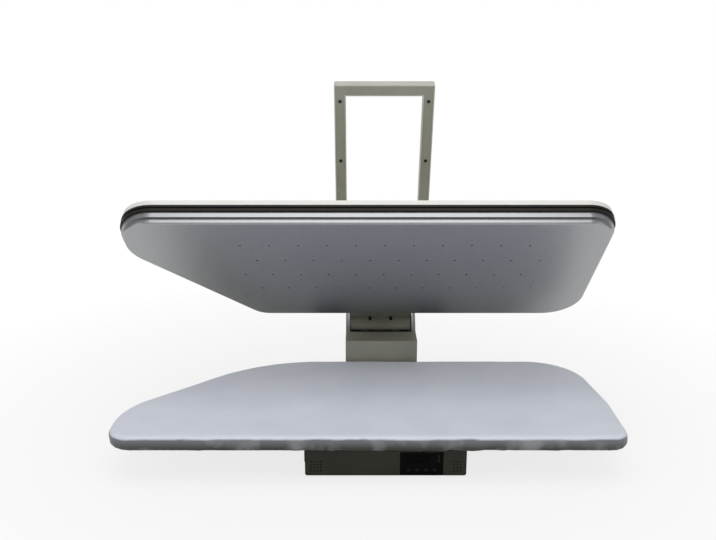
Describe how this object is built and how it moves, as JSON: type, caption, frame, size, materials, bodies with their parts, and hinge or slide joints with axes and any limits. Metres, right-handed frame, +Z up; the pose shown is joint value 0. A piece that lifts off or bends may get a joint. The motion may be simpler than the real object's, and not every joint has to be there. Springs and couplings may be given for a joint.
{
  "type": "steam ironing press",
  "caption": "Table-top steam ironing press, open: padded board on a low base, heated head tilted up on a rear column, U-shaped lifting handle.",
  "frame": {"origin": "on the surface it stands on, under the middle of its length and depth", "axes": "+X to the operator's right, along the board; +Y from the operator towards the column; +Z up"},
  "size_m": [1, 0.58, 0.7397],
  "materials": {
    "silver_cloth": "silver-coated cotton",
    "felt": "pressed felt",
    "foam": "open-cell foam",
    "mineral_fibre": "needled fibre",
    "zinc_steel": "zinc plated",
    "bright_steel": "ground",
    "base_paint": "satin moulded, painted",
    "olive_paint": "moulded, satin olive-grey paint",
    "handle_shell": "glass-filled moulding, satin olive-grey paint",
    "white_cover": "moulded, cream-white",
    "black_resin": "phenolic moulding",
    "black_plastic": "moulded",
    "black_gloss": "polished moulding",
    "smoked_window": "smoked acrylic",
    "clear_lens": "tinted acrylic",
    "button_plastic": "soft-touch moulding",
    "grey_plastic": "moulded",
    "tank_plastic": "translucent polycarbonate",
    "silicone": "extruded silicone",
    "black_rubber": "moulded",
    "circuit": "glass-epoxy laminate",
    "brass": "machined",
    "bronze": "sintered",
    "plate_aluminium": "satin coated casting",
    "cast_aluminium": "die cast"
  },
  "bodies": {
    "stand": {"board_cover": "silver_cloth", "board_tray": "zinc_steel", "board_felt": "felt", "board_foam": "foam", "board_rails": "zinc_steel", "board_standoffs": "zinc_steel", "board_bolts": "zinc_steel", "base_housing": "base_paint", "base_bottom_plate": "zinc_steel", "rubber_feet": "black_rubber", "foot_screws": "zinc_steel", "control_bezel": "black_gloss", "display_window": "smoked_window", "indicator_lenses": "clear_lens", "control_pcb": "circuit", "power_switch_frame": "black_plastic", "tank_dock": "grey_plastic", "pump": "grey_plastic", "suction_hose": "silicone", "pressure_hose": "silicone", "hose_union": "brass", "power_board": "circuit", "mains_lead_bush": "black_rubber", "column_side_plates": "zinc_steel", "column_bolts": "zinc_steel", "column_front_cover": "olive_paint", "column_rear_cover": "olive_paint", "hinge_pins": "bright_steel", "open_stop_bar": "bright_steel", "link_bracket": "zinc_steel", "link_base_pin": "bright_steel"},
    "head": {"heated_plate": "plate_aluminium", "heating_element": "bright_steel", "steam_chamber_lid": "cast_aluminium", "insulation_blanket": "mineral_fibre", "thermostat": "black_plastic", "thermal_fuse": "bright_steel", "steam_inlet": "brass", "insulating_band": "black_resin", "head_frame": "cast_aluminium", "lever_plates": "zinc_steel", "lever_bolts": "zinc_steel", "hinge_bushes": "bronze", "lift_springs": "bright_steel", "head_top_cover": "white_cover", "top_cover_screws": "zinc_steel", "neck_cover": "olive_paint"},
    "handle": {"handle_frame": "handle_shell", "handle_under_cover": "olive_paint", "handle_screws": "bright_steel", "handle_cross_shaft": "bright_steel", "handle_cranks": "zinc_steel"},
    "links": {"toggle_links": "zinc_steel"},
    "tank": {"water_tank": "tank_plastic"},
    "cap": {"tank_cap": "grey_plastic"},
    "rocker": {"power_rocker": "black_gloss"},
    "button_1": {"control_button_1": "button_plastic"},
    "button_2": {"control_button_2": "button_plastic"},
    "button_3": {"control_button_3": "button_plastic"},
    "button_4": {"control_button_4": "button_plastic"}
  },
  "joints": [
    {"name": "head_lift", "type": "hinge", "parent": "stand", "child": "head", "pos_m": [0.036, 0.226, 0.146], "axis": [1, 0, 0], "range_deg": [0, 47], "stiffness_Nm_per_rad": 45, "springref_deg": -65.89},
    {"name": "handle_swing", "type": "hinge", "parent": "head", "child": "handle", "pos_m": [0.036, 0.21708, 0.25527], "axis": [1, 0, 0], "range_deg": [0, 14.2]},
    {"name": "link_swing", "type": "hinge", "parent": "stand", "child": "links", "pos_m": [0.036, 0.2373, 0.1234], "axis": [1, 0, 0], "range_deg": [0, 23.7]},
    {"name": "tank_slide", "type": "slide", "parent": "stand", "child": "tank", "axis": [-1, 0, 0], "range_m": [0, 0.13]},
    {"name": "cap_turn", "type": "hinge", "parent": "tank", "child": "cap", "pos_m": [-0.0795, -0.12, 0.05], "axis": [0, 0, 1], "range_deg": [0, 90]},
    {"name": "rocker_tilt", "type": "hinge", "parent": "stand", "child": "rocker", "pos_m": [0.1875, -0.185, 0.0325], "axis": [0, 0, 1], "range_deg": [0, 18]},
    {"name": "button_1_press", "type": "slide", "parent": "stand", "child": "button_1", "axis": [0, 1, 0], "range_m": [0, 0.0012], "stiffness_N_per_m": 400},
    {"name": "button_2_press", "type": "slide", "parent": "stand", "child": "button_2", "axis": [0, 1, 0], "range_m": [0, 0.0012], "stiffness_N_per_m": 400},
    {"name": "button_3_press", "type": "slide", "parent": "stand", "child": "button_3", "axis": [0, 1, 0], "range_m": [0, 0.0012], "stiffness_N_per_m": 400},
    {"name": "button_4_press", "type": "slide", "parent": "stand", "child": "button_4", "axis": [0, 1, 0], "range_m": [0, 0.0012], "stiffness_N_per_m": 400}
  ],
  "couplings": [
    {"joint": "handle_swing", "follows": "head_lift", "ratio": 0.3},
    {"joint": "link_swing", "follows": "head_lift", "ratio": 0.502}
  ]
}
